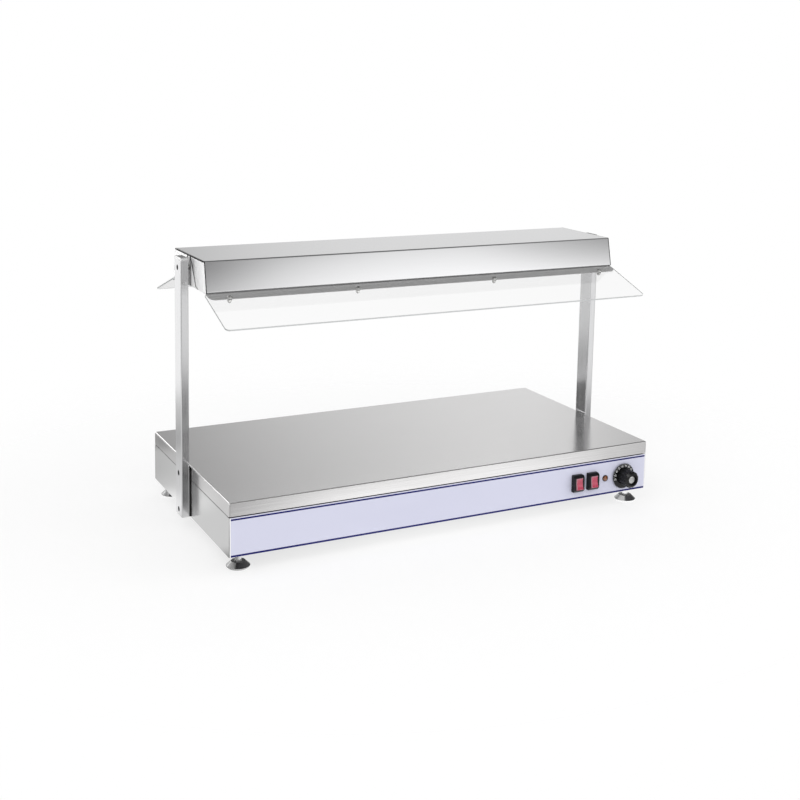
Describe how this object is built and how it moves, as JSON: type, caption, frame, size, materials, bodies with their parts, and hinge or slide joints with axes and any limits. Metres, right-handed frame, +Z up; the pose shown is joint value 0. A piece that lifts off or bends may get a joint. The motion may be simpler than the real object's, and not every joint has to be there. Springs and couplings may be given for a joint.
{
  "type": "heat lamp food warmer",
  "caption": "Free-standing buffet food warmer: a heated stainless plate on a low cabinet with levelling feet, and a lamp hood with sloping clear panes on end posts.",
  "frame": {"origin": "on the surface the feet stand on, under the middle of the warming plate", "axes": "+X to the right along the plate, +Y from the control side to the back, +Z up"},
  "size_m": [0.935, 0.5318, 0.532],
  "materials": {
    "brushed_plate": "satin brushed stainless sheet",
    "stainless_sheet": "polished stainless sheet",
    "post_tube": "polished stainless tube",
    "printed_film": "printed film",
    "bracket_sheet": "ground stainless sheet",
    "clear_pane": "clear sheet with polished edges",
    "bright_foot": "turned and plated steel",
    "zinc_sheet": "zinc coated sheet",
    "fastener_steel": "bright steel",
    "element_sheath": "oxidised steel tube",
    "mineral_mat": "mineral fibre",
    "ceramic": "unglazed ceramic",
    "black_plastic": "moulded",
    "satin_cap": "ground stainless",
    "black_rubber": "moulded strip",
    "lead_sheath": "silicone sheath",
    "red_rocker": "translucent moulding",
    "amber_lens": "translucent moulding",
    "bright_cap": "turned disc",
    "brass_blade": "stamped",
    "reflector_sheet": "bright rolled",
    "quartz": "quartz tube",
    "guard_wire": "plated wire"
  },
  "bodies": {
    "chassis": {"warming_plate": "brushed_plate", "base_cabinet": "stainless_sheet", "hood_shell": "stainless_sheet", "hood_left_end": "stainless_sheet", "hood_right_end": "stainless_sheet", "left_post": "post_tube", "right_post": "post_tube", "front_overlay": "printed_film", "front_pane_bracket": "bracket_sheet", "rear_pane_bracket": "bracket_sheet", "front_pane": "clear_pane", "rear_pane": "clear_pane", "bottom_cover": "zinc_sheet", "clamp_bars": "zinc_sheet", "insulation_tray": "zinc_sheet", "cover_screws": "fastener_steel", "foot_nuts": "fastener_steel", "clamp_studs": "fastener_steel", "clamp_nuts": "fastener_steel", "thermostat_screws": "fastener_steel", "pilot_nut": "fastener_steel", "left_post_bolts": "fastener_steel", "right_post_bolts": "fastener_steel", "post_nuts": "fastener_steel", "hood_spacers": "fastener_steel", "front_pane_screws": "fastener_steel", "rear_pane_screws": "fastener_steel", "front_pane_nuts": "fastener_steel", "rear_pane_nuts": "fastener_steel", "heating_element": "element_sheath", "insulation_mat": "mineral_mat", "terminal_block": "ceramic", "lamp_holders": "ceramic", "left_switch_housing": "black_plastic", "right_switch_housing": "black_plastic", "pilot_bezel": "black_plastic", "cable_gland": "black_plastic", "gland_nut": "black_plastic", "thermostat_body": "black_plastic", "post_caps": "satin_cap", "post_spacers": "black_rubber", "lamp_lead": "lead_sheath", "pilot_lens": "amber_lens", "switch_blades": "brass_blade", "thermostat_bulb": "brass_blade", "reflector": "reflector_sheet", "left_lamp": "quartz", "right_lamp": "quartz", "lamp_guard": "guard_wire"},
    "dial": {"thermostat_knob": "black_plastic", "knob_cap": "bright_cap", "thermostat_spindle": "fastener_steel"},
    "foot_front_left": {"foot_front_left": "bright_foot"},
    "foot_front_right": {"foot_front_right": "bright_foot"},
    "foot_rear_left": {"foot_rear_left": "bright_foot"},
    "foot_rear_right": {"foot_rear_right": "bright_foot"},
    "left_rocker": {"left_rocker": "red_rocker"},
    "right_rocker": {"right_rocker": "red_rocker"}
  },
  "joints": [
    {"name": "dial_turn", "type": "hinge", "parent": "chassis", "child": "dial", "pos_m": [0.392, -0.2314, 0.065], "axis": [0, 1, 0], "range_deg": [0, 270]},
    {"name": "left_rocker_tilt", "type": "hinge", "parent": "chassis", "child": "left_rocker", "pos_m": [0.2792, -0.2394, 0.065], "axis": [1, 0, 0], "range_deg": [0, 18]},
    {"name": "right_rocker_tilt", "type": "hinge", "parent": "chassis", "child": "right_rocker", "pos_m": [0.315, -0.2394, 0.065], "axis": [1, 0, 0], "range_deg": [0, 18]},
    {"name": "foot_front_left_level", "type": "slide", "parent": "chassis", "child": "foot_front_left", "axis": [0, 0, 1], "range_m": [-0.01, 0.01]},
    {"name": "foot_front_right_level", "type": "slide", "parent": "chassis", "child": "foot_front_right", "axis": [0, 0, 1], "range_m": [-0.01, 0.01]},
    {"name": "foot_rear_left_level", "type": "slide", "parent": "chassis", "child": "foot_rear_left", "axis": [0, 0, 1], "range_m": [-0.01, 0.01]},
    {"name": "foot_rear_right_level", "type": "slide", "parent": "chassis", "child": "foot_rear_right", "axis": [0, 0, 1], "range_m": [-0.01, 0.01]}
  ]
}
